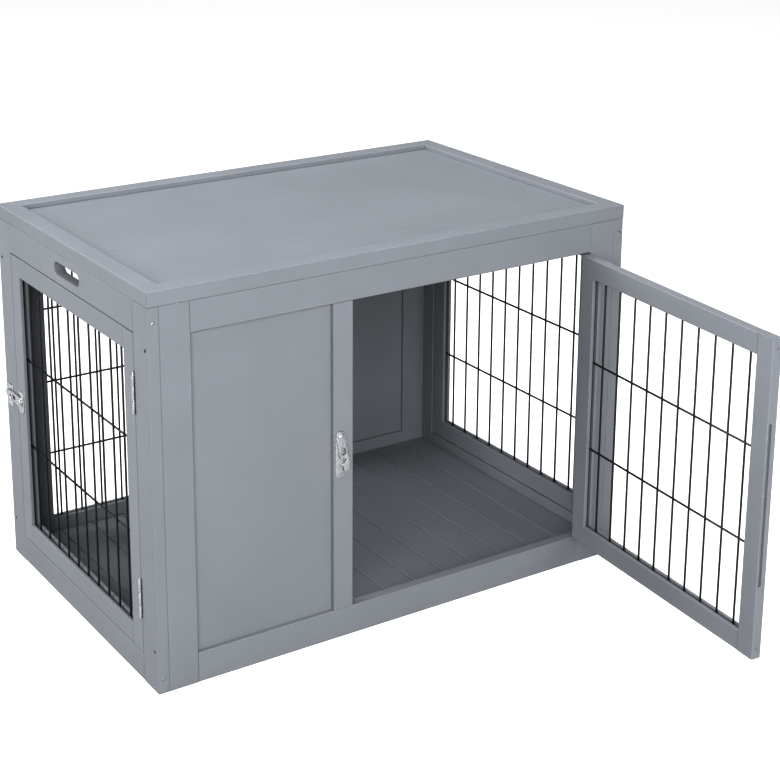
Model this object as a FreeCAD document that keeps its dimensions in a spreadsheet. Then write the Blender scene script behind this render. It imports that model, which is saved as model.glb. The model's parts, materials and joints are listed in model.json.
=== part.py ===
# Dog crate end table: a wooden crate with three framed wire doors under a table top.
# Millimetres. +Z is up, +X runs along the length and the front faces -Y. The origin is on the
# floor, in the middle of the underside of the centre floor bearer.
import FreeCAD, Part
import math
import os
import re

SIZES = {
    # the whole table
    "length": 820.0,
    "depth": 528.0,
    "height": 590.0,
    "edge_ease": 0.8,
    # table top: a mitred rim round a thin panel
    "rim_wide": 29.3,
    "rim_thick": 22.0,
    "top_panel_drop": 8.0,
    "top_panel_thick": 6.0,
    "rim_groove_deep": 8.0,
    # frames: 17 mm boards on edge
    "frame_thick": 17.0,
    "stile_wide": 46.0,
    "top_rail_wide": 45.0,
    "bottom_rail_wide": 46.0,
    "centre_stile_wide": 33.0,
    "end_top_rail_wide": 46.0,
    "end_bottom_rail_wide": 42.0,
    # solid panels of the front and back frames
    "panel_thick": 5.0,
    "panel_set_back": 7.0,
    "panel_groove_deep": 8.0,
    "groove_play": 0.2,
    "panel_end_play": 0.6,
    # hand hold through the top rail of each end
    "handle_long": 88.0,
    "handle_high": 20.0,
    "handle_from_top": 23.0,
    # floor
    "bearer_count": 3.0,
    "bearer_wide": 30.0,
    "bearer_thick": 12.0,
    "slat_count": 14.0,
    "slat_thick": 12.0,
    "slat_seam": 1.5,
    # doors
    "door_gap": 1.5,
    "door_thick": 16.0,
    "door_member_wide": 31.0,
    "tenon_play": 0.2,
    "tenon_end_play": 0.5,
    "front_door_open_degrees": 85.5,
    "finger_long": 242.0,
    "finger_wide": 5.5,
    "finger_deep": 4.0,
    "finger_from_inner": 5.0,
    "finger_below_centre": 5.5,
    # welded wire mesh, loose in a groove
    "wire_across": 3.2,
    "wire_pitch": 36.6,
    "wire_layer": 2.2,
    "door_wire_bars": 2.0,
    "back_wire_bars": 3.0,
    "mesh_set_back": 8.0,
    "mesh_groove_wide": 5.8,
    "mesh_groove_deep": 13.5,
    "mesh_side_tuck": 8.0,
    "mesh_end_tuck": 9.5,
    "mesh_drop": 1.9,
    # butt hinges
    "axis_proud": 2.0,
    "hinge_high": 60.0,
    "hinge_from_bottom": 55.0,
    "hinge_from_top": 55.0,
    "leaf_thick": 1.2,
    "leaf_deep": 14.0,
    "knuckle_across": 4.8,
    "knuckle_count": 3.0,
    "knuckle_play": 0.3,
    "knuckle_room": 0.6,
    "pin_across": 2.4,
    "pin_fit": 0.05,
    "pin_past": 1.0,
    # latches: a strap on a rivet, dropped over a stud
    "plate_thick": 1.2,
    "strap_thick": 1.5,
    "strap_play": 0.3,
    "strap_wide": 16.0,
    "strap_long": 46.0,
    "strap_tip_wide": 10.0,
    "strap_tip_long": 11.0,
    "window_start": 19.0,
    "window_long": 10.0,
    "window_high": 7.0,
    "stud_reach": 38.0,
    "stud_across": 3.0,
    "stud_head_across": 6.0,
    "stud_head_thick": 1.2,
    "stud_play": 0.4,
    "mouth_room": 0.9,
    "rivet_across": 6.0,
    "rivet_fit": 0.05,
    "rivet_head_across": 9.0,
    "rivet_head_thick": 1.3,
    "front_plate_wide": 17.0,
    "front_plate_up": 8.0,
    "front_plate_down": 64.5,
    "front_plate_corner": 7.5,
    "front_pivot_from_bay": 22.0,
    "front_pivot_over_middle": 36.0,
    "front_strap_tilt_degrees": 11.0,
    "front_keeper_shift": 1.4,
    "end_plate_wide": 24.0,
    "end_plate_up": 18.5,
    "end_plate_down": 18.5,
    "end_plate_corner": 9.0,
    "end_pivot_from_edge": 12.5,
    "end_pivot_under_middle": 2.0,
    "end_keeper_shift": 6.7,
    "keeper_wide": 25.0,
    "keeper_high": 36.0,
    "keeper_corner": 2.0,
    "keeper_lift": 4.3,
    # screws through the end frames
    "screw_head_across": 5.6,
    "screw_head_deep": 2.0,
    "screw_across": 4.0,
    "screw_play": 0.1,
    "frame_screw_long": 75.0,
    "frame_screw_inset": 8.0,
    "frame_screw_from_top": 23.0,
    "frame_screw_from_floor": 22.0,
    "assembly_screw_long": 45.0,
    "assembly_screw_sunk": 1.0,
    "assembly_screw_inset": 10.8,
    "assembly_screw_from_top": 62.0,
    "assembly_screw_from_floor": 61.0,
}

# Places and sizes that follow from the sizes above.
WORKED = {
    "frame_high": "height - rim_thick",
    "inner_half_long": "length / 2 - frame_thick",
    "inner_half_deep": "depth / 2 - frame_thick",
    "bay_wide": "depth - 2 * stile_wide",
    "bay_low": "bottom_rail_wide",
    "bay_top": "frame_high - top_rail_wide",
    "bay_right": "inner_half_long - stile_wide",
    "bay_left": "bay_right - bay_wide",
    "panel_bay_right": "bay_left - centre_stile_wide",
    "panel_bay_left": "-bay_right",
    "end_bay_low": "end_bottom_rail_wide",
    "end_bay_top": "frame_high - end_top_rail_wide",
    "panel_tuck": "panel_groove_deep - panel_end_play",
    "handle_up": "frame_high - handle_from_top",
    "floor_low": "bearer_thick",
    "slat_pitch": "2 * inner_half_long / slat_count",
    "bearer_pitch": "(2 * inner_half_deep - bearer_wide) / (bearer_count - 1)",
    "door_wide": "bay_wide - 2 * door_gap",
    "door_start": "door_gap / 2",
    "door_end": "door_start + door_wide",
    "door_face": "-axis_proud",
    "door_inner": "-axis_proud - door_thick",
    "door_middle": "door_start + door_wide / 2",
    "door_open_wide": "door_wide - 2 * door_member_wide",
    "door_mesh": "-axis_proud - mesh_set_back",
    "tenon_long": "mesh_groove_deep - tenon_end_play",
    "tenon_thick": "mesh_groove_wide - tenon_play",
    "tenon_high": "door_member_wide - mesh_groove_deep",
    "knuckle_step": "hinge_high / knuckle_count",
    "hinge_axis_x": "bay_right - door_gap / 2",
    "hinge_axis_y": "-depth / 2 - axis_proud",
    "end_axis_x": "-length / 2 - axis_proud",
    "end_axis_y": "-bay_wide / 2 + door_gap / 2",
    "strap_near": "plate_thick + strap_play",
    "strap_far": "strap_near + strap_thick",
    "head_near": "strap_far + strap_play",
    "slot_half": "stud_across / 2 + stud_play",
    "stud_below": "slot_half + stud_head_across / 2 + stud_play",
    "mouth_half": "stud_head_across / 2 + mouth_room",
}

DOWN_X = FreeCAD.Rotation(FreeCAD.Vector(0, 1, 0), 90)
ALONG_Y = FreeCAD.Rotation(FreeCAD.Vector(1, 0, 0), -90)
UPRIGHT = FreeCAD.Rotation()
AXES = {"x": DOWN_X, "y": ALONG_Y, "z": UPRIGHT}

# Small round pieces that repeat have flat sides, which keeps the facets few.
SMALL_SIDES = 8
HEAD_SIDES = 10
END_SIDES = 16
WIRE_SIDES = 6

doc = FreeCAD.newDocument("DogCrateEndTable")
pieces = []


def write_sheets():
    """Driving sizes as plain numbers, and the sizes worked out from them as formulas."""
    sizes = doc.addObject("Spreadsheet::Sheet", "Sizes")
    for row, (name, number) in enumerate(SIZES.items(), 1):
        sizes.set("A%d" % row, str(number))
        sizes.set("B%d" % row, name.replace("_", " "))
        sizes.setAlias("A%d" % row, name)
    worked = doc.addObject("Spreadsheet::Sheet", "Worked")
    doc.recompute()
    for row, (name, formula) in enumerate(WORKED.items(), 1):
        worked.set("A%d" % row, "=" + full(formula))
        worked.set("B%d" % row, name.replace("_", " "))
        worked.setAlias("A%d" % row, name)
        doc.recompute()
    return sizes


def full(text):
    """Give each size in an expression the name of its sheet."""
    def named(match):
        word = match.group(0)
        if word in SIZES:
            return "Sizes." + word
        if word in WORKED:
            return "Worked." + word
        return word
    return re.sub(r"[a-z_]{3,}", named, str(text))


def value(text):
    """The number that an expression of sizes comes to."""
    return float(sheet.evalExpression(full(text)))


sheet = write_sheets()


def bind(feature, **sizes):
    """Tie the feature's properties to expressions of sizes."""
    for name, text in sizes.items():
        feature.setExpression(name, full(text))


def put_at(feature, start, turn=UPRIGHT):
    """Turn a feature and tie its start to expressions of sizes."""
    feature.Placement = FreeCAD.Placement(FreeCAD.Vector(), turn)
    for axis, text in zip("xyz", start):
        feature.setExpression(".Placement.Base." + axis, full(text))


def turned(degrees, x="0", y="0", z="0"):
    """A place at x, y, z, turned about the vertical."""
    spot = FreeCAD.Vector(value(x), value(y), value(z))
    return FreeCAD.Placement(spot, FreeCAD.Rotation(FreeCAD.Vector(0, 0, 1), degrees))


def new_body(label, place=None):
    body = doc.addObject("PartDesign::Body", label)
    body.Label = label
    if place:
        body.Placement = place
    pieces.append(body)
    return body


def add_box(body, start, size):
    box = body.newObject("PartDesign::AdditiveBox", "Board")
    bind(box, Length=size[0], Width=size[1], Height=size[2])
    put_at(box, start)
    return box


def cut_box(body, start, size, turn=UPRIGHT):
    box = body.newObject("PartDesign::SubtractiveBox", "Cut")
    bind(box, Length=size[0], Width=size[1], Height=size[2])
    put_at(box, start, turn)
    return box


def add_stud(body, start, axis, radius, long):
    """A short post of many flat sides inside a radius."""
    stud = body.newObject("PartDesign::AdditivePrism", "Stud")
    stud.Polygon = HEAD_SIDES
    bind(stud, Circumradius=radius, Height=long)
    put_at(stud, start, AXES[axis])


def add_round_end(body, start, axis, radius, long):
    end = body.newObject("PartDesign::AdditivePrism", "RoundEnd")
    end.Polygon = END_SIDES
    bind(end, Circumradius=radius, Height=long)
    put_at(end, start, AXES[axis])


def bore(body, start, axis, radius, long):
    hole = body.newObject("PartDesign::SubtractiveCylinder", "Bore")
    bind(hole, Radius=radius, Height=long)
    put_at(hole, start, AXES[axis])


def sided_hole(body, start, axis, radius, long, sides):
    """A hole of flat sides that stay outside a radius."""
    hole = body.newObject("PartDesign::SubtractivePrism", "Hole")
    hole.Polygon = sides
    bind(hole, Circumradius=around(radius, sides), Height=long)
    put_at(hole, start, AXES[axis])


def around(radius, sides):
    """Corner radius of a polygon drawn round a circle."""
    return "(%s) / cos(%s)" % (radius, 180.0 / sides)


def edges_along(shape, direction):
    """Names of the straight edges that run along a direction."""
    names = []
    for number, edge in enumerate(shape.Edges, 1):
        tangent = edge.tangentAt(edge.FirstParameter)
        if abs(tangent.dot(direction)) > 0.999:
            names.append("Edge%d" % number)
    return names


def board(label, start, size, along, place=None):
    """A planed board whose four long edges are slightly eased."""
    body = new_body(label, place)
    box = add_box(body, start, size)
    doc.recompute()
    direction = {"x": FreeCAD.Vector(1, 0, 0), "y": FreeCAD.Vector(0, 1, 0), "z": FreeCAD.Vector(0, 0, 1)}
    ease = body.newObject("PartDesign::Chamfer", "EasedEdges")
    ease.Base = (box, edges_along(box.Shape, direction[along]))
    bind(ease, Size="edge_ease")
    return body


def repeat(body, axis_role, step, count):
    """Repeat a whole body in a row, as separate solids."""
    body.AllowCompound = True
    row = body.newObject("PartDesign::LinearPattern", "Row")
    row.TransformMode = "Whole shape"
    axis = [each for each in body.Origin.OriginFeatures if each.Role == axis_role][0]
    row.Direction = (axis, [""])
    row.Mode = "Spacing"
    bind(row, Offset=step, Occurrences=count)
    body.Tip = row


def group(label, members):
    """Like pieces that share one node, as separate solids."""
    node = doc.addObject("Part::Compound", label)
    node.Label = label
    node.Links = members
    pieces.append(node)


def rod(start, axis, corner_radius, long, sides):
    """A many-sided rod to be joined to others or taken from them."""
    item = doc.addObject("Part::Prism", "Rod")
    item.Polygon = sides
    bind(item, Circumradius=corner_radius, Height=long)
    put_at(item, start, AXES[axis])
    return item


def moved(item, place):
    """The same shape carried to another place."""
    holder = doc.addObject("Part::Compound", "Placed")
    holder.Links = [item]
    holder.Placement = place
    return holder


def join(members, name="Joined"):
    if len(members) == 1:
        return members[0]
    joined = doc.addObject("Part::MultiFuse", name)
    joined.Shapes = members
    return joined


def take_away(base, tool):
    left = doc.addObject("Part::Cut", "Cut")
    left.Base = base
    left.Tool = tool
    return left


# ---------------------------------------------------------------- table top

def rim_rail(label, half_long, half_across, degrees):
    """One mitred rail of the rim, drawn along X at the front and then turned into place."""
    rail = board(label, ("-(%s)" % half_long, "-(%s)" % half_across, "frame_high"),
                 ("2 * (%s)" % half_long, "rim_wide", "rim_thick"), "x", turned(degrees))
    cut_box(rail, ("-(%s)" % half_long, "-(%s) + rim_wide - rim_groove_deep" % half_across,
                   "height - top_panel_drop - top_panel_thick"),
            ("2 * (%s)" % half_long, "rim_groove_deep", "top_panel_thick + groove_play"))
    mitre = FreeCAD.Rotation(FreeCAD.Vector(0, 0, 1), 45)
    for end in ("-(%s)", "(%s)"):
        cut_box(rail, (end % half_long, "-(%s)" % half_across, "frame_high"),
                ("2 * rim_wide", "2 * rim_wide", "rim_thick"), mitre)


def table_top():
    rim_rail("top_front_rail", "length / 2", "depth / 2", 0)
    rim_rail("top_rear_rail", "length / 2", "depth / 2", 180)
    rim_rail("top_right_rail", "depth / 2", "length / 2", 90)
    rim_rail("top_left_rail", "depth / 2", "length / 2", -90)
    inset = "rim_wide - rim_groove_deep + panel_end_play"
    panel = new_body("top_panel")
    add_box(panel, ("-length / 2 + %s" % inset, "-depth / 2 + %s" % inset,
                    "height - top_panel_drop - top_panel_thick"),
            ("length - 2 * (%s)" % inset, "depth - 2 * (%s)" % inset, "top_panel_thick"))


# ---------------------------------------------------------------- screws

def screw_holes(body, start, axis, sunk="0", long="frame_screw_long", backwards=False):
    """A stepped hole along X or Y that holds one screw."""
    spots = list(start)
    index = "xyz".index(axis)
    reach = "(%s) + (%s)" % (sunk, long)
    head = "(%s) + screw_head_deep" % sunk
    if backwards:
        spots[index] = "(%s) - (%s)" % (start[index], reach)
        sided_hole(body, spots, axis, "screw_across / 2 + screw_play", reach, SMALL_SIDES)
        spots = list(start)
        spots[index] = "(%s) - (%s)" % (start[index], head)
        sided_hole(body, spots, axis, "screw_head_across / 2 + screw_play", head, HEAD_SIDES)
        return
    sided_hole(body, start, axis, "screw_across / 2 + screw_play", reach, SMALL_SIDES)
    sided_hole(body, start, axis, "screw_head_across / 2 + screw_play", head, HEAD_SIDES)


def screw(start, axis, sunk, long, place):
    """A flat-headed screw, driven in the positive direction of its axis."""
    spots = list(start)
    index = "xyz".index(axis)
    spots[index] = "(%s) + (%s)" % (start[index], sunk)
    head = rod(spots, axis, "screw_head_across / 2", "screw_head_deep", HEAD_SIDES)
    shank = rod(spots, axis, "screw_across / 2", long, SMALL_SIDES)
    return moved(join([head, shank], "Screw"), place)


FRAME_SCREWS_UP = ("frame_high - frame_screw_from_top", "frame_screw_from_floor")
ASSEMBLY_SCREWS_UP = ("frame_high - assembly_screw_from_top", "assembly_screw_from_floor")
SCREW_X = "-length / 2 + frame_screw_inset"
SCREW_Y = "-depth / 2 + assembly_screw_inset"


def all_screws():
    """Four through each end frame's edges, and two through each corner into the long frames."""
    frame_screws = []
    assembly_screws = []
    for mirrored_x in (False, True):
        for degrees in (0, 180):
            place = turned(degrees)
            x = "-(%s)" % SCREW_X if mirrored_x else SCREW_X
            for up in FRAME_SCREWS_UP:
                frame_screws.append(screw((x, "-depth / 2", up), "y", "0", "frame_screw_long", place))
            y = "-(%s)" % SCREW_Y if mirrored_x else SCREW_Y
            for up in ASSEMBLY_SCREWS_UP:
                assembly_screws.append(screw(("-length / 2", y, up), "x", "assembly_screw_sunk",
                                             "assembly_screw_long", place))
    group("frame_screws", frame_screws)
    group("assembly_screws", assembly_screws)


# ---------------------------------------------------------------- hinges

FRONT_BAY = ("bay_low", "bay_top")
END_BAY = ("end_bay_low", "end_bay_top")


def hinges_up(bay):
    """Where the two hinges of a door start, from the bottom and the top of its bay."""
    low, top = bay
    return ("(%s + door_gap + hinge_from_bottom)" % low,
            "(%s - door_gap - hinge_from_top - hinge_high)" % top)


def hinge_room(body, bay, axis_at, leaf_start, leaf_size):
    """Let one leaf of each hinge of a door into a stile: a shallow seat and room for the knuckles."""
    for up in hinges_up(bay):
        start = (leaf_start[0], leaf_start[1], up)
        cut_box(body, start, (leaf_size[0], leaf_size[1], "hinge_high"))
        sided_hole(body, (axis_at[0], axis_at[1], "%s - knuckle_room" % up), "z",
                   "knuckle_across / 2 + knuckle_room", "hinge_high + 2 * knuckle_room", HEAD_SIDES)


def hinge_leaf(up, on_door, place):
    """One leaf with its knuckles, drawn about the hinge axis with the door shut along +X."""
    side = "door_start" if on_door else "-door_start - leaf_thick"
    plate = doc.addObject("Part::Box", "Leaf")
    bind(plate, Length="leaf_thick", Width="axis_proud + leaf_deep", Height="hinge_high")
    put_at(plate, (side, "-axis_proud - leaf_deep", up))
    own = []
    room = []
    for number in range(int(value("knuckle_count"))):
        low = "%s + %d * knuckle_step" % (up, number)
        if (number % 2 == 1) == on_door:
            own.append(rod(("0", "0", "%s + knuckle_play / 2" % low), "z", "knuckle_across / 2",
                           "knuckle_step - knuckle_play", HEAD_SIDES))
        else:
            room.append(rod(("0", "0", "%s - knuckle_play / 2" % low), "z",
                            around("knuckle_across / 2 + knuckle_play", SMALL_SIDES),
                            "knuckle_step + knuckle_play", SMALL_SIDES))
    room.append(rod(("0", "0", up), "z", around("pin_across / 2 + pin_fit", SMALL_SIDES), "hinge_high",
                    SMALL_SIDES))
    trimmed = take_away(plate, join(room[:-1], "Room"))
    leaf = take_away(join([trimmed] + own), room[-1])
    return moved(leaf, place)


def hinge_pin(up, place):
    """A plain pin that stands a little past the knuckles at both ends."""
    pin = rod(("0", "0", "%s - pin_past" % up), "z", "pin_across / 2", "hinge_high + 2 * pin_past",
              SMALL_SIDES)
    return moved(pin, place)


# ---------------------------------------------------------------- front and back frames

def wall(stile_names, prefix, place, fixed_mesh):
    """A long frame drawn as the front: solid panel on the left, door or mesh bay on the right."""
    face = "-depth / 2"
    deep = "frame_thick"
    panel_at = "%s + panel_set_back - groove_play / 2" % face
    panel_groove = "panel_thick + groove_play"
    mesh_at = "%s + mesh_set_back - mesh_groove_wide / 2" % face

    left = board(prefix + stile_names[0], ("-inner_half_long", face, "0"),
                 ("stile_wide", deep, "frame_high"), "z", place)
    cut_box(left, ("panel_bay_left - panel_groove_deep", panel_at, "bay_low - panel_groove_deep"),
            ("panel_groove_deep", panel_groove, "bay_top - bay_low + 2 * panel_groove_deep"))
    for up in ASSEMBLY_SCREWS_UP:
        screw_holes(left, ("-length / 2", SCREW_Y, up), "x", "assembly_screw_sunk", "assembly_screw_long")

    right = board(prefix + stile_names[1], ("bay_right", face, "0"),
                  ("stile_wide", deep, "frame_high"), "z", place)
    for up in ASSEMBLY_SCREWS_UP:
        screw_holes(right, ("length / 2", SCREW_Y, up), "x", "assembly_screw_sunk", "assembly_screw_long",
                    backwards=True)

    centre = board(prefix + "centre_stile", ("panel_bay_right", face, "bay_low"),
                   ("centre_stile_wide", deep, "bay_top - bay_low"), "z", place)
    cut_box(centre, ("panel_bay_right", panel_at, "bay_low"),
            ("panel_groove_deep", panel_groove, "bay_top - bay_low"))

    rails = []
    for name, low, high, groove_at, mesh_groove_at in (
            ("top_rail", "bay_top", "top_rail_wide", "bay_top", "bay_top"),
            ("bottom_rail", "0", "bottom_rail_wide", "bay_low - panel_groove_deep",
             "bay_low - mesh_groove_deep")):
        rail = board(prefix + name, ("panel_bay_left", face, low),
                     ("bay_right - panel_bay_left", deep, high), "x", place)
        cut_box(rail, ("panel_bay_left", panel_at, groove_at),
                ("panel_bay_right - panel_bay_left + panel_groove_deep", panel_groove,
                 "panel_groove_deep"))
        rails.append((rail, mesh_groove_at))

    panel = new_body(prefix + "panel", place)
    add_box(panel, ("panel_bay_left - panel_tuck", "%s + panel_set_back" % face, "bay_low - panel_tuck"),
            ("panel_bay_right - panel_bay_left + 2 * panel_tuck", "panel_thick",
             "bay_top - bay_low + 2 * panel_tuck"))

    if not fixed_mesh:
        hinge_room(right, FRONT_BAY, ("hinge_axis_x", "hinge_axis_y"), ("bay_right", face),
                   ("leaf_thick", "leaf_deep"))
        return
    for stile, start in ((right, "bay_right"), (centre, "bay_left - mesh_groove_deep")):
        cut_box(stile, (start, mesh_at, "bay_low - mesh_groove_deep"),
                ("mesh_groove_deep", "mesh_groove_wide", "bay_top - bay_low + 2 * mesh_groove_deep"))
    for rail, start in rails:
        cut_box(rail, ("bay_left - mesh_groove_deep", mesh_at, start),
                ("bay_wide + mesh_groove_deep", "mesh_groove_wide", "mesh_groove_deep"))
    wire_mesh(prefix + "mesh", "bay_left + bay_wide / 2", "%s + mesh_set_back" % face, -1,
              "bay_wide", "bay_low", "bay_top", "back_wire_bars", place)


# ---------------------------------------------------------------- welded wire mesh

def wire(start, axis, long):
    """A straight wire whose six-sided section holds as much metal as the real round one."""
    item = doc.addObject("Part::Prism", "Wire")
    item.Polygon = WIRE_SIDES
    equal_area = math.sqrt(2 * math.pi / (WIRE_SIDES * math.sin(2 * math.pi / WIRE_SIDES)))
    bind(item, Circumradius="%.5f * wire_across / 2" % equal_area, Height=long)
    put_at(item, start, AXES[axis])
    return item


def wire_mesh(label, middle, depth_at, inward, opening, low, top, bars, place):
    """Upright wires at one pitch, crossing bars behind them, and a border hidden in the groove."""
    half = "(%s) / 2" % opening
    reach = "(%s + mesh_side_tuck)" % half
    bottom = "(%s - mesh_end_tuck - mesh_drop)" % low
    high = "(%s - %s + 2 * mesh_end_tuck)" % (top, low)
    front = "(%s) - (%d) * wire_layer / 2" % (depth_at, inward)
    behind = "(%s) + (%d) * wire_layer / 2" % (depth_at, inward)
    past = "wire_across / 2"

    wires = []
    each_side = int((value(half) - value("wire_pitch / 2")) / value("wire_pitch")) + 1
    offsets = ["-" + reach, reach]
    for number in range(each_side):
        step = "(%d + 0.5) * wire_pitch" % number
        offsets += ["-" + step, step]
    for offset in offsets:
        wires.append(wire(("%s + %s" % (middle, offset), front, bottom), "z", high))
    spaces = int(value(bars)) + 1
    for number in range(spaces + 1):
        up = "%s + %d * %s / %d" % (bottom, number, high, spaces)
        wires.append(wire(("%s - %s - %s" % (middle, reach, past), behind, up), "x",
                          "2 * %s + 2 * %s" % (reach, past)))
    mesh = join(wires, label)
    mesh.Label = label
    mesh.Placement = place or FreeCAD.Placement()
    pieces.append(mesh)


# ---------------------------------------------------------------- end frames

def end_frame(prefix, hinge_name, latch_name, place):
    """An end frame drawn as the left end: door hinged at the front stile, hand hold in the top rail."""
    outer = "-length / 2"
    deep = "frame_thick"
    hinge_stile = board(prefix + hinge_name, (outer, "-depth / 2", "0"),
                        (deep, "stile_wide", "frame_high"), "z", place)
    latch_stile = board(prefix + latch_name, (outer, "depth / 2 - stile_wide", "0"),
                        (deep, "stile_wide", "frame_high"), "z", place)
    top_rail = board(prefix + "top_rail", (outer, "-bay_wide / 2", "end_bay_top"),
                     (deep, "bay_wide", "end_top_rail_wide"), "y", place)
    bottom_rail = board(prefix + "bottom_rail", (outer, "-bay_wide / 2", "0"),
                        (deep, "bay_wide", "end_bottom_rail_wide"), "y", place)

    round_end = "handle_high / 2"
    straight = "handle_long / 2 - handle_high / 2"
    cut_box(top_rail, (outer, "-(%s)" % straight, "handle_up - %s" % round_end),
            (deep, "2 * (%s)" % straight, "handle_high"))
    for y in ("-(%s)" % straight, straight):
        bore(top_rail, (outer, y, "handle_up"), "x", round_end, deep)

    for rail, up in zip((top_rail, bottom_rail), FRAME_SCREWS_UP):
        screw_holes(hinge_stile, (SCREW_X, "-depth / 2", up), "y")
        screw_holes(latch_stile, (SCREW_X, "depth / 2", up), "y", backwards=True)
        screw_holes(rail, (SCREW_X, "-depth / 2", up), "y")
        screw_holes(rail, (SCREW_X, "depth / 2", up), "y", backwards=True)
    for up in ASSEMBLY_SCREWS_UP:
        screw_holes(hinge_stile, (outer, SCREW_Y, up), "x", "assembly_screw_sunk", "assembly_screw_long")
        screw_holes(latch_stile, (outer, "-(%s)" % SCREW_Y, up), "x", "assembly_screw_sunk",
                    "assembly_screw_long")

    hinge_room(hinge_stile, END_BAY, ("end_axis_x", "end_axis_y"), (outer, "-bay_wide / 2 - leaf_thick"),
               ("leaf_deep", "leaf_thick"))


# ---------------------------------------------------------------- floor

def crate_floor():
    """Slats across the crate on three bearers that lie on the ground."""
    bearers = board("floor_bearers", ("-inner_half_long", "-inner_half_deep", "0"),
                    ("2 * inner_half_long", "bearer_wide", "bearer_thick"), "x")
    repeat(bearers, "Y_Axis", "bearer_pitch", "bearer_count")
    slats = board("floor_slats", ("-inner_half_long + slat_seam / 2", "-inner_half_deep", "floor_low"),
                  ("slat_pitch - slat_seam", "2 * inner_half_deep", "slat_thick"), "y")
    repeat(slats, "X_Axis", "slat_pitch", "slat_count")


# ---------------------------------------------------------------- doors

def door(name, bay, place):
    """A framed mesh door, drawn about its hinge axis and shut along +X, outer face towards +Y."""
    low = "(%s + door_gap)" % bay[0]
    top = "(%s - door_gap)" % bay[1]
    high = "(%s - %s)" % (top, low)
    groove_y = "door_mesh - mesh_groove_wide / 2"

    hinge_stile = board(name + "_hinge_stile", ("door_start", "door_inner", low),
                        ("door_member_wide", "door_thick", high), "z", place)
    cut_box(hinge_stile, ("door_start + door_member_wide - mesh_groove_deep", groove_y, low),
            ("mesh_groove_deep", "mesh_groove_wide", high))
    hinge_room(hinge_stile, bay, ("0", "0"), ("door_start", "door_face - leaf_deep"),
               ("leaf_thick", "leaf_deep"))

    latch_stile = board(name + "_latch_stile", ("door_end - door_member_wide", "door_inner", low),
                        ("door_member_wide", "door_thick", high), "z", place)
    cut_box(latch_stile, ("door_end - door_member_wide", groove_y, low),
            ("mesh_groove_deep", "mesh_groove_wide", high))
    finger_groove(latch_stile, "((%s + %s) / 2 - finger_below_centre)" % (low, top))

    rail_start = "door_start + door_member_wide"
    for part, rail_low, groove_low, tenon_low in (
            ("_top_rail", "%s - door_member_wide" % top, "%s - door_member_wide" % top,
             "%s - tenon_high" % top),
            ("_bottom_rail", low, "%s + door_member_wide - mesh_groove_deep" % low, low)):
        rail = board(name + part, (rail_start, "door_inner", rail_low),
                     ("door_open_wide", "door_thick", "door_member_wide"), "x", place)
        cut_box(rail, (rail_start, groove_y, groove_low),
                ("door_open_wide", "mesh_groove_wide", "mesh_groove_deep"))
        for x in ("%s - tenon_long" % rail_start, "%s + door_open_wide" % rail_start):
            add_box(rail, (x, "door_mesh - tenon_thick / 2", tenon_low),
                    ("tenon_long", "tenon_thick", "tenon_high"))

    wire_mesh(name + "_mesh", "door_middle", "door_mesh", -1, "door_open_wide",
              "(%s + door_member_wide)" % low, "(%s - door_member_wide)" % top, "door_wire_bars", place)
    group(name + "_hinge_leaves", [hinge_leaf(up, True, place) for up in hinges_up(bay)])


def finger_groove(stile, middle):
    """A stopped groove in the free edge, near the inner face, to pull the door by."""
    y = "door_inner + finger_from_inner"
    radius = "finger_wide / 2"
    straight = "(finger_long - finger_wide)"
    cut_box(stile, ("door_end - finger_deep", "%s - %s" % (y, radius), "%s - %s / 2" % (middle, straight)),
            ("finger_deep", "finger_wide", straight))
    for sign in ("-", "+"):
        bore(stile, ("door_end - finger_deep", y, "%s %s %s / 2" % (middle, sign, straight)), "x",
             radius, "finger_deep")


# ---------------------------------------------------------------- latches

def layer(outward, near, far):
    """Start of a layer that lies between two heights above the wood, outward along +Y or -Y."""
    return near if outward > 0 else "-(%s)" % far


def cornered_plate(label, start, size, place, rounded=None, cut=None):
    """A flat plate in the XZ plane with its four corners rounded, or cut off."""
    body = new_body(label, place)
    plate = add_box(body, start, size)
    doc.recompute()
    kind = "PartDesign::Fillet" if rounded else "PartDesign::Chamfer"
    corners = body.newObject(kind, "Corners")
    corners.Base = (plate, edges_along(plate.Shape, FreeCAD.Vector(0, 1, 0)))
    if rounded:
        bind(corners, Radius=rounded)
    else:
        bind(corners, Size=cut)
    return body


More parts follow.
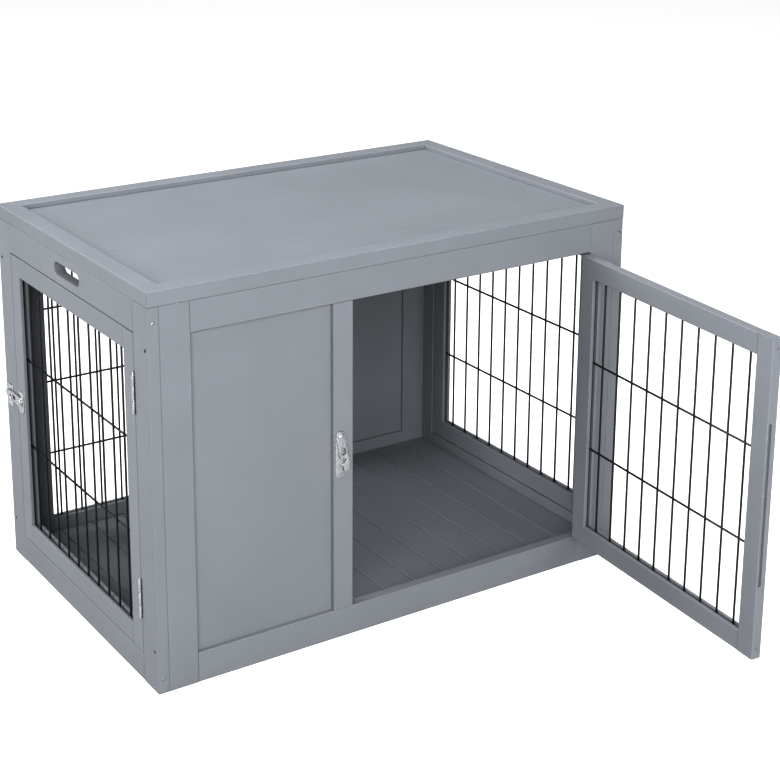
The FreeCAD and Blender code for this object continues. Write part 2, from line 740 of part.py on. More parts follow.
def latch(names, sizes, outward, place, tilt):
    """Pivot plate, strap and keeper about the pivot. +X points to the stud, the strap tilts down."""
    wide, down, up, corner, shift = sizes
    plate_name, strap_name, keeper_name = names
    on_wood = layer(outward, "0", "plate_thick")
    post = layer(outward, "0", "head_near")
    plate = cornered_plate(plate_name, ("-(%s) / 2" % wide, on_wood, "-(%s)" % down),
                           (wide, "plate_thick", "%s + %s" % (down, up)), place, rounded=corner)
    add_stud(plate, ("0", post, "0"), "y", "rivet_across / 2", "head_near")
    add_stud(plate, ("0", layer(outward, "head_near", "head_near + rivet_head_thick"), "0"), "y",
             "rivet_head_across / 2", "rivet_head_thick")

    stud_x = "sqrt(stud_reach * stud_reach - stud_below * stud_below)"
    keeper_start = ("%s + %s - keeper_wide / 2" % (stud_x, shift), on_wood,
                    "-stud_below + keeper_lift - keeper_high / 2")
    keeper = cornered_plate(keeper_name, keeper_start, ("keeper_wide", "plate_thick", "keeper_high"), place,
                            cut="keeper_corner")
    head = layer(outward, "head_near", "head_near + stud_head_thick")
    add_stud(keeper, (stud_x, post, "-stud_below"), "y", "stud_across / 2", "head_near")
    add_stud(keeper, (stud_x, head, "-stud_below"), "y", "stud_head_across / 2", "stud_head_thick")

    swing = FreeCAD.Placement(FreeCAD.Vector(), FreeCAD.Rotation(FreeCAD.Vector(0, 1, 0), tilt))
    strap = new_body(strap_name, place.multiply(swing))
    y = layer(outward, "strap_near", "strap_far")
    thick = "strap_thick"
    add_box(strap, ("0", y, "-strap_wide / 2"), ("strap_long", thick, "strap_wide"))
    add_round_end(strap, ("0", y, "0"), "y", "strap_wide / 2", thick)
    tip_round = "strap_tip_wide / 2"
    add_box(strap, ("strap_long", y, "-" + tip_round),
            ("strap_tip_long - %s" % tip_round, thick, "strap_tip_wide"))
    add_round_end(strap, ("strap_long + strap_tip_long - %s" % tip_round, y, "0"), "y", tip_round, thick)
    sided_hole(strap, ("0", y, "0"), "y", "rivet_across / 2 + rivet_fit", thick, HEAD_SIDES)
    cut_box(strap, ("window_start", y, "-window_high / 2"), ("window_long", thick, "window_high"))
    cut_box(strap, ("stud_reach - slot_half", y, "-slot_half"), ("2 * slot_half", thick, "slot_half"))
    sided_hole(strap, ("stud_reach", y, "0"), "y", "slot_half", thick, SMALL_SIDES)
    cut_box(strap, ("stud_reach - stud_play - mouth_half", y, "-strap_wide / 2"),
            ("2 * mouth_half", thick, "strap_wide / 2 - slot_half"))


# ---------------------------------------------------------------- the whole table

HALF_TURN = turned(180)
FRONT_SHUT = turned(180, "hinge_axis_x", "hinge_axis_y")
FRONT_OPEN = turned(180 + value("front_door_open_degrees"), "hinge_axis_x", "hinge_axis_y")
LEFT_SHUT = turned(90, "end_axis_x", "end_axis_y")
RIGHT_SHUT = HALF_TURN.multiply(LEFT_SHUT)


def build():
    table_top()
    wall(("left_stile", "right_stile"), "front_", turned(0), False)
    wall(("right_stile", "left_stile"), "back_", HALF_TURN, True)
    end_frame("left_end_", "front_stile", "rear_stile", turned(0))
    end_frame("right_end_", "rear_stile", "front_stile", HALF_TURN)
    crate_floor()

    door("front_door", FRONT_BAY, FRONT_OPEN)
    door("left_door", END_BAY, LEFT_SHUT)
    door("right_door", END_BAY, RIGHT_SHUT)
    frame_leaves = []
    pins = []
    for bay, place in ((FRONT_BAY, FRONT_SHUT), (END_BAY, LEFT_SHUT), (END_BAY, RIGHT_SHUT)):
        for up in hinges_up(bay):
            frame_leaves.append(hinge_leaf(up, False, place))
            pins.append(hinge_pin(up, place))
    group("frame_hinge_leaves", frame_leaves)
    group("hinge_pins", pins)

    front_sizes = ("front_plate_wide", "front_plate_down", "front_plate_up", "front_plate_corner",
                   "front_keeper_shift")
    pivot = turned(0, "bay_left - front_pivot_from_bay", "-depth / 2",
                   "(bay_low + bay_top) / 2 + front_pivot_over_middle")
    latch(("front_latch_plate", "front_latch_strap", "front_latch_keeper"), front_sizes, -1, pivot,
          90 - value("front_strap_tilt_degrees"))
    swing_open = FRONT_OPEN.multiply(FRONT_SHUT.inverse())
    keeper = doc.getObjectsByLabel("front_latch_keeper")[0]
    keeper.Placement = swing_open.multiply(keeper.Placement)

    end_sizes = ("end_plate_wide", "end_plate_down", "end_plate_up", "end_plate_corner", "end_keeper_shift")
    on_door = turned(0, "door_end - end_pivot_from_edge", "door_face",
                     "(end_bay_low + end_bay_top) / 2 - end_pivot_under_middle")
    for side, place in (("left", LEFT_SHUT), ("right", RIGHT_SHUT)):
        names = (side + "_latch_plate", side + "_latch_strap", side + "_latch_keeper")
        latch(names, end_sizes, 1, place.multiply(on_door), 0)
    all_screws()


def check_document():
    """Stop on a failed object, an empty or broken shape, or a label used twice."""
    for item in doc.Objects:
        if "Invalid" in item.State or "Error" in item.State:
            raise RuntimeError("failed object: %s" % item.Label)
    labels = [piece.Label for piece in pieces]
    if len(set(labels)) != len(labels):
        raise RuntimeError("a label is used twice")
    for piece in pieces:
        if piece.Shape.isNull() or not piece.Shape.isValid() or not piece.Shape.Solids:
            raise RuntimeError("broken shape: %s" % piece.Label)


build()
doc.recompute()
check_document()
os.makedirs("parts", exist_ok=True)
for piece in pieces:
    piece.Shape.exportStep("parts/%s.step" % piece.Label)
    box = piece.Shape.BoundBox
    print("%-26s %2d solids, %5.1f x %5.1f x %5.1f mm" % (
        piece.Label, len(piece.Shape.Solids), box.XLength, box.YLength, box.ZLength))
print(len(pieces), "nodes")
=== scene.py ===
"""Visual model of a dog crate end table: grey painted wood, black welded wire and bright zinc fittings."""

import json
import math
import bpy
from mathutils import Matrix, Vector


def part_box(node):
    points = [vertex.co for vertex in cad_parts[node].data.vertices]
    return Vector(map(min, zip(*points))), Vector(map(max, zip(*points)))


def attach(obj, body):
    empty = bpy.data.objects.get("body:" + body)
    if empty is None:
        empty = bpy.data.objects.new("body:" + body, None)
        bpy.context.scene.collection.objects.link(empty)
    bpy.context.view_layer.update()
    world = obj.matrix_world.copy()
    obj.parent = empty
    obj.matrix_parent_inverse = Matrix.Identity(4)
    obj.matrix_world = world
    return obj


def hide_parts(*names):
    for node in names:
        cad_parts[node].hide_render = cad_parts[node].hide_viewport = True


bl_info = {
    "name": "Dog crate end table",
    "version": (1, 0, 0),
    "blender": (4, 5, 0),
    "location": "3D View > Sidebar > Crate",
    "description": "Adds the wires, hinges, latches and screws to a crate end table, "
                   "and finishes all its pieces",
    "category": "Object",
}

import bpy
from mathutils import Matrix, Vector

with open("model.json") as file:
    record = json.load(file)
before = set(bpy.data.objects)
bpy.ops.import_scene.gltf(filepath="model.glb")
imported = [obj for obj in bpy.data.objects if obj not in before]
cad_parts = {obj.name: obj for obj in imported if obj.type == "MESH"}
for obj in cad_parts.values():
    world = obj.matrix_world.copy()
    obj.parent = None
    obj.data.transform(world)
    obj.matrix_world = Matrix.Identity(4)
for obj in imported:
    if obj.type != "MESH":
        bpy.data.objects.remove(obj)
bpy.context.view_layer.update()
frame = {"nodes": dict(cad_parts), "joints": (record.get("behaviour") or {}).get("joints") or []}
NODES = frame["nodes"]
JOINTS = {joint["name"]: joint for joint in frame["joints"]}
MM = 0.001
UP = Vector((0, 0, 1))


def linear(hex_colour):
    """The linear colour for an sRGB hex value."""
    channels = []
    for at in (0, 2, 4):
        share = int(hex_colour[at:at + 2], 16) / 255
        channels.append(share / 12.92 if share <= 0.04045 else ((share + 0.055) / 1.055) ** 2.4)
    return (*channels, 1.0)


# ---------------------------------------------------------------- settings

def length(name, description, millimetres):
    """A size that a user can change."""
    return bpy.props.FloatProperty(name=name, description=description, default=millimetres * MM,
                                   min=0.0, unit="LENGTH", precision=5)


def colour(name, description, hex_colour):
    """A colour that a user can change."""
    return bpy.props.FloatVectorProperty(name=name, description=description, default=linear(hex_colour),
                                         size=4, min=0.0, max=1.0, subtype="COLOR")


def strength(name, description, amount):
    """The power of a light, or another strength that a user can change."""
    return bpy.props.FloatProperty(name=name, description=description, default=amount, min=0.0)


class CrateSizes(bpy.types.PropertyGroup):
    wire_across: length("Wire", "Diameter of the mesh wires", 3.2)
    wire_pitch: length("Wire pitch", "From one upright wire to the next", 36.6)
    wire_layer: length("Wire layers", "From the upright wires to the bars welded behind them", 2.2)
    knuckle_across: length("Knuckle", "Diameter of the hinge barrels", 4.8)
    pin_across: length("Hinge pin", "Diameter of the hinge pins", 2.4)
    frame_screw_across: length("Frame screw", "Head diameter of the frame screws", 5.6)
    door_screw_across: length("Door screw", "Head diameter of the screws in the door edges", 5.5)
    small_screw_across: length("Fitting screw", "Head diameter of the hinge and latch screws", 4.4)


class CrateColours(bpy.types.PropertyGroup):
    paint: colour("Paint", "Satin grey paint on the wood", "7A7D82")
    worn_paint: colour("Worn paint", "Thin paint along the boards' edges", "868A8F")
    primer: colour("Primer", "Pale primer where the paint has chipped", "E4E5E6")
    wire: colour("Wire", "Black powder coat on the wires", "17181B")
    zinc: colour("Zinc", "Bright zinc plate on the fittings", "CDCFD2")
    dark_steel: colour("Dark steel", "Blackened steel of the sunk screws", "5B5E63")
    floor: colour("Studio floor", "Plain pale floor", "B0B0B0")


class CrateStage(bpy.types.PropertyGroup):
    key: strength("Key light", "Softbox on the left, behind the crate, in watts", 150.0)
    top: strength("Top light", "Softbox above the crate, in watts", 138.0)
    side: strength("Side light", "Softbox on the left, before the crate, in watts", 170.0)
    front: strength("Front light", "Softbox straight before the crate, in watts", 115.0)
    fill: strength("Fill light", "Dim softbox on the right of the crate, in watts", 24.0)
    surround: strength("Surround", "Light that comes back from the studio's white walls", 0.02)
    contrast: strength("Contrast", "Gamma of the camera's picture", 0.72)


def sizes():
    return bpy.context.scene.crate_sizes


def colours():
    return bpy.context.scene.crate_colours


# ---------------------------------------------------------------- modelling

# Faces that turn by more than these angles meet in an edge that is eased, and are shaded apart.
EASED_ABOVE = math.radians(40)
SHADED_APART_ABOVE = math.radians(35)


def deselect():
    bpy.ops.object.select_all(action="DESELECT")


def pick(piece):
    """Make one piece the only one selected."""
    deselect()
    piece.select_set(True)
    bpy.context.view_layer.objects.active = piece


def settle(piece):
    """Put the piece's place into its mesh."""
    pick(piece)
    bpy.ops.object.transform_apply(location=True, rotation=True, scale=True)
    return piece


def box(low, high):
    """A box between two corners, in millimetres."""
    low, high = Vector(low) * MM, Vector(high) * MM
    deselect()
    bpy.ops.mesh.primitive_cube_add(size=1, location=(low + high) / 2, scale=high - low)
    return settle(bpy.context.object)


def bar(radius, long, sides, start=(0, 0, 0)):
    """An upright round bar, in metres, with its foot at start."""
    deselect()
    middle = Vector(start) + UP * long / 2
    bpy.ops.mesh.primitive_cylinder_add(vertices=sides, radius=radius, depth=long, location=middle)
    return settle(bpy.context.object)


def soften(piece, width, segments=2):
    """Ease every sharp edge."""
    pick(piece)
    bpy.ops.object.modifier_add(type="BEVEL")
    bevel = piece.modifiers[-1]
    bevel.width = width
    bevel.segments = segments
    bevel.limit_method = "ANGLE"
    bevel.angle_limit = EASED_ABOVE
    bevel.use_clamp_overlap = True
    bpy.ops.object.modifier_apply(modifier=bevel.name)
    return piece


def round_edges(piece, chosen, radius, segments):
    """Round the edges whose two ends, in millimetres, pass the test."""
    pick(piece)
    bpy.ops.object.mode_set(mode="EDIT")
    bpy.ops.mesh.select_all(action="DESELECT")
    bpy.ops.object.mode_set(mode="OBJECT")
    for edge in piece.data.edges:
        ends = [piece.data.vertices[index].co / MM for index in edge.vertices]
        edge.select = chosen(*ends)
    bpy.ops.object.mode_set(mode="EDIT")
    bpy.ops.mesh.select_mode(type="EDGE")
    bpy.ops.mesh.bevel(offset=radius * MM, segments=segments)
    bpy.ops.object.mode_set(mode="OBJECT")
    return piece


def upright(start, end):
    """Whether an edge of a plate runs through its thickness."""
    return abs(start.z - end.z) > 0.5


def carve(piece, *tools, operation="DIFFERENCE"):
    """Cut the tools out of the piece, or join them into it, and use the tools up."""
    for tool in tools:
        pick(piece)
        bpy.ops.object.modifier_add(type="BOOLEAN")
        boolean = piece.modifiers[-1]
        boolean.operation = operation
        boolean.solver = "EXACT"
        boolean.object = tool
        bpy.ops.object.modifier_apply(modifier=boolean.name)
        bpy.data.objects.remove(tool)
    return piece


def copy_to(piece, place):
    """A copy with its own mesh, carried by a matrix."""
    twin = piece.copy()
    twin.data = piece.data.copy()
    bpy.context.scene.collection.objects.link(twin)
    twin.matrix_world = place
    return settle(twin)


def join(parts):
    """Make one piece of several."""
    deselect()
    for part in parts:
        part.select_set(True)
    bpy.context.view_layer.objects.active = parts[0]
    if len(parts) > 1:
        bpy.ops.object.join()
    return bpy.context.object


def discard(*pieces):
    """Throw away pieces that were only there to be copied."""
    for piece in pieces:
        bpy.data.objects.remove(piece)


def complete(piece, name, body, material, replaced=()):
    """Name a piece, shade and finish it, and set it on its body."""
    piece.name = piece.data.name = name
    settle(piece)
    bpy.ops.object.shade_smooth_by_angle(angle=SHADED_APART_ABOVE)
    piece.data.materials.clear()
    piece.data.materials.append(material)
    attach(piece, body)
    if replaced:
        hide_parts(*replaced)
    return piece


# ---------------------------------------------------------------- places

def turn(degrees):
    """A turn about an upright axis."""
    return Matrix.Rotation(math.radians(degrees), 4, "Z")


def hinge_place(joint_name, degrees):
    """A door's own frame: its hinge axis at the origin and its closed face along +X."""
    x, y, _ = JOINTS[joint_name]["pos_m"]
    return Matrix.Translation((x, y, 0)) @ turn(degrees)


FRONT_OPEN = -JOINTS["front_door_hinge"]["range_deg"][0]
SHUT = {
    "front_door": hinge_place("front_door_hinge", 180),
    "left_door": hinge_place("left_door_hinge", 90),
    "right_door": hinge_place("right_door_hinge", 270),
}
AT_REST = dict(SHUT, front_door=hinge_place("front_door_hinge", 180 + FRONT_OPEN))
DOORS = tuple(SHUT)

# A door in its own frame, in millimetres: the middle of its thickness, and its two upright edges.
DOOR_CORE = -10.0
HINGE_EDGE, LATCH_EDGE = 0.75, 433.75


# ---------------------------------------------------------------- materials

# Nearly all of a noise pattern lies between these values.
NOISE_SPAN = {"From Min": 0.3, "From Max": 0.7}


def node(tree, kind, settings=None, inputs=None):
    """Add a node with its settings, and with a value or a link for each input named."""
    made = tree.nodes.new(kind)
    for name, setting in (settings or {}).items():
        setattr(made, name, setting)
    for socket, given in (inputs or {}).items():
        if isinstance(given, bpy.types.NodeSocket):
            tree.links.new(given, made.inputs[socket])
        else:
            made.inputs[socket].default_value = given
    return made


def new_material(name):
    """A material, its node tree and its shader."""
    material = bpy.data.materials.new(name)
    material.use_nodes = True
    return material, material.node_tree, material.node_tree.nodes["Principled BSDF"]


def shift_brightness(tree, base, pattern, low, high):
    """Make a colour darker and lighter along a pattern."""
    spread = node(tree, "ShaderNodeMapRange", None,
                  {"Value": pattern, **NOISE_SPAN, "To Min": low, "To Max": high})
    return node(tree, "ShaderNodeHueSaturation", None,
                {"Color": base, "Value": spread.outputs[0]}).outputs[0]


# A noise scale is 1000 over the width of one patch in millimetres. Growth rings stand about 4 mm apart on
# a flat-sawn pine face. The pores are finer than a pixel, so they are drawn 2 mm wide.
RINGS, PORES = 220.0, 520.0
# Brushed paint clouds over 140 mm and wears in patches of 30 mm. Its chips are one to three millimetres.
PAINT_CLOUDS, WORN_PATCHES, CHIPS = 7.0, 30.0, 260.0


def painted_pine(name, stretch, turned=0.0, grain_shows=1.0):
    """Pine brushed with satin paint: a soft sheen, faint raised grain, paler paint on the handled edges."""
    material, tree, shader = new_material(name)
    place = node(tree, "ShaderNodeTexCoord").outputs["Object"]
    own = node(tree, "ShaderNodeObjectInfo").outputs["Random"]
    apart = node(tree, "ShaderNodeMath", {"operation": "MULTIPLY"}, {0: own, 1: 9.0}).outputs[0]
    local = node(tree, "ShaderNodeMapping", None,
                 {"Vector": place, "Rotation": (0, 0, -math.radians(turned))}).outputs[0]
    moved = node(tree, "ShaderNodeVectorMath", {"operation": "ADD"}, {0: local, 1: apart}).outputs[0]
    along = node(tree, "ShaderNodeMapping", None, {"Vector": moved, "Scale": stretch}).outputs[0]
    rings = node(tree, "ShaderNodeTexNoise", None,
                 {"Vector": along, "Scale": RINGS, "Detail": 3.0,
                  "Roughness": 0.55, "Distortion": 0.4}).outputs[0]
    pores = node(tree, "ShaderNodeTexNoise", None,
                 {"Vector": along, "Scale": PORES, "Detail": 2.0}).outputs[0]
    cloud = node(tree, "ShaderNodeTexNoise", None,
                 {"Vector": moved, "Scale": PAINT_CLOUDS, "Detail": 2.0}).outputs[0]
    toned = shift_brightness(tree, colours().paint, rings,
                             1 - 0.02 * grain_shows, 1 + 0.016 * grain_shows)
    toned = shift_brightness(tree, toned, cloud, 0.97, 1.03)
    toned = shift_brightness(tree, toned, own, 0.985, 1.015)

    # Near an edge the rounded normal leaves the true one.
    rounded = node(tree, "ShaderNodeBevel", {"samples": 4}, {"Radius": 1.2 * MM}).outputs[0]
    true_normal = node(tree, "ShaderNodeNewGeometry").outputs["Normal"]
    facing_share = node(tree, "ShaderNodeVectorMath", {"operation": "DOT_PRODUCT"},
                        {0: rounded, 1: true_normal}).outputs["Value"]
    edge = node(tree, "ShaderNodeMapRange", None,
                {"Value": facing_share, "From Min": 0.995, "From Max": 0.85,
                 "To Min": 0.0, "To Max": 1.0}).outputs[0]
    patchy = node(tree, "ShaderNodeTexNoise", None,
                  {"Vector": moved, "Scale": WORN_PATCHES, "Detail": 3.0}).outputs[0]
    worn = node(tree, "ShaderNodeMath", {"operation": "MULTIPLY"}, {0: edge, 1: patchy}).outputs[0]
    toned = node(tree, "ShaderNodeMix", {"data_type": "RGBA"},
                 {0: worn, 6: toned, 7: colours().worn_paint}).outputs[2]
    specks = node(tree, "ShaderNodeTexNoise", None,
                  {"Vector": moved, "Scale": CHIPS, "Detail": 1.0}).outputs[0]
    chip = node(tree, "ShaderNodeMapRange", None,
                {"Value": specks, "From Min": 0.73, "From Max": 0.75,
                 "To Min": 0.0, "To Max": 1.0}).outputs[0]
    chip = node(tree, "ShaderNodeMath", {"operation": "MULTIPLY"}, {0: chip, 1: edge}).outputs[0]
    toned = node(tree, "ShaderNodeMix", {"data_type": "RGBA"},
                 {0: chip, 6: toned, 7: colours().primer}).outputs[2]
    tree.links.new(toned, shader.inputs["Base Color"])

    gloss = node(tree, "ShaderNodeMapRange", None,
                 {"Value": rings, **NOISE_SPAN, "To Min": 0.56, "To Max": 0.68}).outputs[0]
    tree.links.new(gloss, shader.inputs["Roughness"])
    grain = node(tree, "ShaderNodeBump", None,
                 {"Height": rings, "Strength": 0.12 * grain_shows, "Distance": 0.35 * MM,
                  "Normal": rounded}).outputs[0]
    fine = node(tree, "ShaderNodeBump", None,
                {"Height": pores, "Strength": 0.2, "Distance": 0.12 * MM, "Normal": grain}).outputs[0]
    tree.links.new(fine, shader.inputs["Normal"])
    shader.inputs["IOR"].default_value = 1.47
    return material


# Powder coat dimples are about 0.4 mm, and are drawn at 1 mm so that they show.
DIMPLES = 900.0


def powder_coated_wire(name):
    """Steel wire under black powder coat: a satin skin, slightly dimpled, with long soft highlights."""
    material, tree, shader = new_material(name)
    place = node(tree, "ShaderNodeTexCoord").outputs["Object"]
    dimples = node(tree, "ShaderNodeTexNoise", None,
                   {"Vector": place, "Scale": DIMPLES, "Detail": 2.0}).outputs[0]
    tone = shift_brightness(tree, colours().wire, dimples, 0.85, 1.15)
    tree.links.new(tone, shader.inputs["Base Color"])
    gloss = node(tree, "ShaderNodeMapRange", None,
                 {"Value": dimples, **NOISE_SPAN, "To Min": 0.34, "To Max": 0.46}).outputs[0]
    tree.links.new(gloss, shader.inputs["Roughness"])
    bump = node(tree, "ShaderNodeBump", None,
                {"Height": dimples, "Strength": 0.3, "Distance": 0.08 * MM}).outputs[0]
    tree.links.new(bump, shader.inputs["Normal"])
    shader.inputs["IOR"].default_value = 1.5
    return material


# Clouding in a plated sheet is a few millimetres across. Rolling lines are 0.3 mm apart, and drawn at 0.7 mm.
PLATE_CLOUDS, ROLLING_LINES = 240.0, 1400.0


def plated_steel(name, tone, roughness, metallic=1.0):
    """Pressed steel: bright with faint clouding and rolling lines when zinc plated, dull when blackened."""
    material, tree, shader = new_material(name)
    place = node(tree, "ShaderNodeTexCoord").outputs["Object"]
    cloud = node(tree, "ShaderNodeTexNoise", None,
                 {"Vector": place, "Scale": PLATE_CLOUDS, "Detail": 3.0}).outputs[0]
    rolled = node(tree, "ShaderNodeMapping", None,
                  {"Vector": place, "Scale": (1.0, 1.0, 0.05)}).outputs[0]
    lines = node(tree, "ShaderNodeTexNoise", None,
                 {"Vector": rolled, "Scale": ROLLING_LINES, "Detail": 1.0}).outputs[0]
    clouded = shift_brightness(tree, tone, cloud, 0.9, 1.06)
    # Painted shade: the plating is drawn darker in its corners, creases and the gaps between parts, the more
    # closed in they are.
    open_share = node(tree, "ShaderNodeAmbientOcclusion", {"samples": 16},
                      {"Distance": 3 * MM}).outputs["AO"]
    painted_corner_shade = node(tree, "ShaderNodeMapRange", None,
                  {"Value": open_share, "From Min": 0.3, "From Max": 0.85,
                   "To Min": 0.38, "To Max": 1.0}).outputs[0]
    clouded_and_shaded = node(tree, "ShaderNodeHueSaturation", None,
                    {"Color": clouded, "Value": painted_corner_shade}).outputs[0]
    tree.links.new(clouded_and_shaded, shader.inputs["Base Color"])
    gloss = node(tree, "ShaderNodeMapRange", None,
                 {"Value": cloud, **NOISE_SPAN,
                  "To Min": roughness - 0.07, "To Max": roughness + 0.07}).outputs[0]
    tree.links.new(gloss, shader.inputs["Roughness"])
    bump = node(tree, "ShaderNodeBump", None,
                {"Height": lines, "Strength": 0.15, "Distance": 0.05 * MM}).outputs[0]
    tree.links.new(bump, shader.inputs["Normal"])
    shader.inputs["Metallic"].default_value = metallic
    return material


def finish_named(name):
    """A material by its name, made the first time that it is asked for."""
    made = bpy.data.materials.get(name)
    if made:
        return made
    if name == "black_powder_coated_steel":
        return powder_coated_wire(name)
    if name == "bright_zinc_plated_steel":
        return plated_steel(name, colours().zinc, 0.27)
    if name == "blackened_steel":
        return plated_steel(name, colours().dark_steel, 0.45, 0.9)
    raise RuntimeError("no finish is named " + name)


# ---------------------------------------------------------------- painted wood

# The pattern is stretched about thirty times along the grain.
GRAIN_X = (0.035, 1.0, 1.0)
GRAIN_Y = (1.0, 0.035, 1.0)
GRAIN_Z = (1.0, 1.0, 0.035)
# Little of the grain shows through the paint on the thin, sanded boards.
BOARD_GRAIN = 0.2
WOODEN = ("stile", "rail", "panel", "slats", "bearers")


def grain_of(name):
    """Which way the grain of a wooden piece runs."""
    if name.endswith("panel"):
        return "board" if name == "top_panel" else "upright_board"
    if "stile" in name:
        return "upright"
    if name.startswith("front_door"):
        return "open_door"
    if name == "floor_slats" or name.startswith(("top_left", "top_right", "left_", "right_")):
        return "crosswise"
    return "lengthwise"


class CRATE_OT_paint(bpy.types.Operator):
    """Paint every wooden piece, with the grain along it"""
    bl_idname = "crate.paint"
    bl_label = "Paint the wood"

    def execute(self, context):
        finishes = {
            "upright": painted_pine("satin_painted_pine_upright", GRAIN_Z),
            "lengthwise": painted_pine("satin_painted_pine_lengthwise", GRAIN_X),
            "crosswise": painted_pine("satin_painted_pine_crosswise", GRAIN_Y),
            "open_door": painted_pine("satin_painted_pine_open_door", GRAIN_X, turned=FRONT_OPEN),
            "board": painted_pine("satin_painted_thin_board", GRAIN_X, grain_shows=BOARD_GRAIN),
            "upright_board": painted_pine("satin_painted_thin_board_upright", GRAIN_Z,
                                          grain_shows=BOARD_GRAIN),
        }
        for name, piece in NODES.items():
            if not any(word in name for word in WOODEN):
                continue
            slots = piece.data.materials
            if not slots:
                slots.append(None)
            for index in range(len(slots)):
                slots[index] = finishes[grain_of(name)]
        return {"FINISHED"}


# ---------------------------------------------------------------- wire meshes

def wire(long):
    """A straight wire along +Z with its cut ends eased."""
    across = sizes().wire_across
    return soften(bar(across / 2, long, 12), 0.5 * MM)


def wire_mesh(name, node_name, body, place, middle, depth, half_reach, uprights, bars):
    """Upright wires at one pitch, crossing bars welded behind them, and a border that the groove hides."""
    low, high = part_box(node_name)
    radius = sizes().wire_across / 2
    bottom, top = low.z + radius, high.z - radius
    front = depth + sizes().wire_layer / 2
    behind = depth - sizes().wire_layer / 2
    upright_wire = wire(top - bottom)
    crosswise_wire = wire(2 * half_reach + 2 * radius)
    steps = [(number - (uprights - 1) / 2) * sizes().wire_pitch for number in range(uprights)]
    parts = [copy_to(upright_wire, Matrix.Translation((middle + step, front, bottom)))
             for step in (-half_reach, *steps, half_reach)]
    lay_down = Matrix.Rotation(math.radians(90), 4, "Y")
    for number in range(bars + 2):
        height = bottom + number * (top - bottom) / (bars + 1)
        start = Matrix.Translation((middle - half_reach - radius, behind, height))
        parts.append(copy_to(crosswise_wire, start @ lay_down))
    discard(upright_wire, crosswise_wire)
    mesh = join(parts)
    mesh.matrix_world = place
    complete(mesh, name, body, finish_named("black_powder_coated_steel"), [node_name])


class CRATE_OT_wires(bpy.types.Operator):
    """Make the welded wire meshes of the doors and the back"""
    bl_idname = "crate.wires"
    bl_label = "Wire meshes"

    door_middle: length("Door middle", "From the hinge axis to the middle of a door's mesh", 217.25)
    door_reach: length("Door reach", "Half the width of a door's mesh", 193.5)
    back_middle: length("Back middle", "From the crate's middle to the middle of the back mesh", 129.0)
    back_depth: length("Back depth", "From the crate's middle back to the mesh", 256.0)
    back_reach: length("Back reach", "Half the width of the back mesh", 226.0)

    def execute(self, context):
        for door in DOORS:
            wire_mesh(door + "_wires", door + "_mesh", door, AT_REST[door],
                      self.door_middle, DOOR_CORE * MM, self.door_reach, 10, 2)
        wire_mesh("back_wires", "back_mesh", "crate", turn(180),
                  self.back_middle, -self.back_depth, self.back_reach, 12, 3)
        return {"FINISHED"}


# ---------------------------------------------------------------- screws

def screw_head(across, deep=1.6 * MM):
    """A flat head with a cross recess, facing +Z, its face at the origin."""
    radius = across / 2
    head = bar(radius, deep, 24, (0, 0, -deep))
    soften(head, 0.09 * across)
    arm, thin, recess = radius / MM * 0.62, radius / MM * 0.19, 1.1
    cross = carve(box((-arm, -thin, -recess), (arm, thin, 1)), box((-thin, -arm, -recess), (thin, arm, 1)),
                  operation="UNION")
    return carve(head, cross)


def frame_screw():
    """A screw head on its shank, which is 4 mm thick and 40 mm long."""
    head_deep, shank_long = 2.0 * MM, 40 * MM
    head = screw_head(sizes().frame_screw_across, head_deep)
    shank = bar(2.0 * MM, shank_long, 16, (0, 0, -head_deep - shank_long))
    return carve(head, shank, operation="UNION")


def facing(point, outward, spin=0.0):
    """A place whose +Z points outward from a surface."""
    way = Vector(outward)
    return Matrix.Translation(Vector(point)) @ way.to_track_quat("Z", "Y").to_matrix().to_4x4() @ turn(spin)


def corner_screws(node_name, axis, spins, spin_step):
    """Places at the four corners of the two faces across an axis. No two screws stop at the same angle."""
    low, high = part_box(node_name)
    radius = sizes().frame_screw_across / 2
    aside = 1 - axis
    places = []
    for across in (low[aside] + radius, high[aside] - radius):
        for height in (low.z + radius, high.z - radius):
            for face, way, spin in ((low[axis], -1, spins[0]), (high[axis], 1, spins[1])):
                point, outward = Vector((0, 0, height)), Vector((0, 0, 0))
                point[axis], point[aside], outward[axis] = face, across, way
                places.append(facing(point, outward, spin + spin_step * len(places)))
    return places


class CRATE_OT_screws(bpy.types.Operator):
    """Make the screw heads of the frames and of the doors' edges"""
    bl_idname = "crate.screws"
    bl_label = "Screws"

    from_end: length("From the end", "From a door's corner to the screw in its edge", 14.5)

    def execute(self, context):
        zinc = finish_named("bright_zinc_plated_steel")
        dark = finish_named("blackened_steel")
        screw = frame_screw()
        for name, places, finish, slot in (
                ("frame_screws", corner_screws("frame_screws", 1, (20, 65), 37), zinc, "bright_zinc"),
                ("assembly_screws", corner_screws("assembly_screws", 0, (10, 50), 41), dark, "dark_screw")):
            copies = join([copy_to(screw, place) for place in places])
            complete(copies, name + "_heads", "crate", finish, [name])
        discard(screw)

        small = screw_head(sizes().door_screw_across)
        for door in DOORS:
            low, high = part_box(door + "_latch_stile")
            parts = []
            for height in (low.z + self.from_end, high.z - self.from_end):
                for x, way in ((LATCH_EDGE, 1), (HINGE_EDGE, -1)):
                    place = facing((x * MM, DOOR_CORE * MM, height), (way, 0, 0), 33 * len(parts))
                    parts.append(copy_to(small, AT_REST[door] @ place))
            complete(join(parts), door + "_edge_screws", door, zinc)
        discard(small)
        return {"FINISHED"}


# ---------------------------------------------------------------- hinges

# A hinge stands on its axis, in millimetres. Each leaf lies beside the axis, between the door and the frame.
HINGE_HIGH = 60.0
KNUCKLES = 3
KNUCKLE_GAP = 0.15
LEAF_WIDE, LEAF_THICK, LEAF_CORNER = 16.0, 1.2, 2.0
LEAF_SCREWS = (9.0, 30.0, 51.0)
LEAF_SCREWS_IN = 9.5


